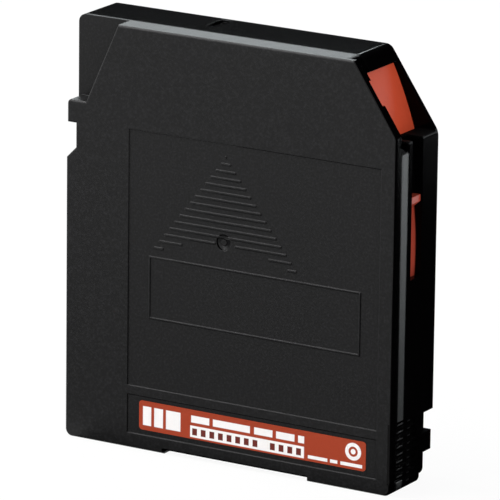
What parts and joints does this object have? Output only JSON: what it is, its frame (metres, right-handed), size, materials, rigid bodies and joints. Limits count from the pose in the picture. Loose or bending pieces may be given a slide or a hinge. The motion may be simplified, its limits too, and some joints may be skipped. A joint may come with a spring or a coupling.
{
  "type": "data tape cartridge",
  "caption": "Single-reel half-inch data tape cartridge: two-shell case with a cut corner, sprung arc door, leader pin, braked reel and write-protect switch.",
  "frame": {"origin": "centre of the overall box's underside: under the middle of the rear edge that the cartridge stands on", "axes": "+Z from the rear edge to the front edge that enters the drive, +Y from the label face to the hub face, X across the width with the cut corner and the door's slot on the +X side"},
  "size_m": [0.109, 0.0244, 0.125],
  "materials": {
    "case_plastic": "fine spark-eroded texture, black",
    "door_plastic": "moulded, orange red",
    "spring_wire": "drawn spring steel",
    "label_paper": "printed brick red with a satin coat",
    "switch_plastic": "moulded grey",
    "reel_plastic": "glass-filled, natural white",
    "flange_plastic": "glass-filled, natural white",
    "clutch_steel": "stamped magnetic steel",
    "tape_film": "wound tape edges, dark brown",
    "leader_film": "coated film",
    "pin_steel": "turned stainless steel",
    "clip_plastic": "moulded black",
    "brake_plastic": "moulded, wear-resistant black",
    "pad_plastic": "moulded natural plastic",
    "chip_board": "green circuit board",
    "screw_steel": "dark zinc plated"
  },
  "bodies": {
    "case": {"top_shell": "case_plastic", "bottom_shell": "case_plastic", "label": "label_paper", "leader": "leader_film", "leader_pin": "pin_steel", "pin_clip": "clip_plastic", "pin_spring_upper": "spring_wire", "pin_spring_lower": "spring_wire", "brake_spring": "spring_wire", "door_spring": "spring_wire", "memory_chip": "chip_board", "case_screws": "screw_steel"},
    "door": {"arc_door": "door_plastic"},
    "reel": {"reel_hub": "reel_plastic", "upper_flange": "flange_plastic", "clutch_ring": "clutch_steel", "tape_pack": "tape_film"},
    "brake": {"brake_button": "brake_plastic"},
    "pad": {"release_pad": "pad_plastic"},
    "switch": {"write_switch": "switch_plastic"}
  },
  "joints": [
    {"name": "door_swing", "type": "hinge", "parent": "case", "child": "door", "pos_m": [-0.06249, 0, 0.0685], "axis": [0, 1, 0], "range_deg": [0, 9.5], "stiffness_Nm_per_rad": 0.3, "springref_deg": -20.05, "deforming": ["door_spring"]},
    {"name": "reel_spin", "type": "hinge", "parent": "case", "child": "reel", "pos_m": [-0.0014, 0, 0.0661], "axis": [0, 1, 0], "continuous": true},
    {"name": "brake_slide", "type": "slide", "parent": "case", "child": "brake", "axis": [0, -1, 0], "range_m": [0, 0.002], "stiffness_N_per_m": 300, "springref_m": -0.004, "deforming": ["brake_spring"]},
    {"name": "pad_slide", "type": "slide", "parent": "reel", "child": "pad", "axis": [0, -1, 0], "range_m": [0, 0.002]},
    {"name": "switch_slide", "type": "slide", "parent": "case", "child": "switch", "axis": [1, 0, 0], "range_m": [0, 0.003]}
  ],
  "couplings": [
    {"joint": "pad_slide", "follows": "brake_slide", "ratio": 1}
  ]
}
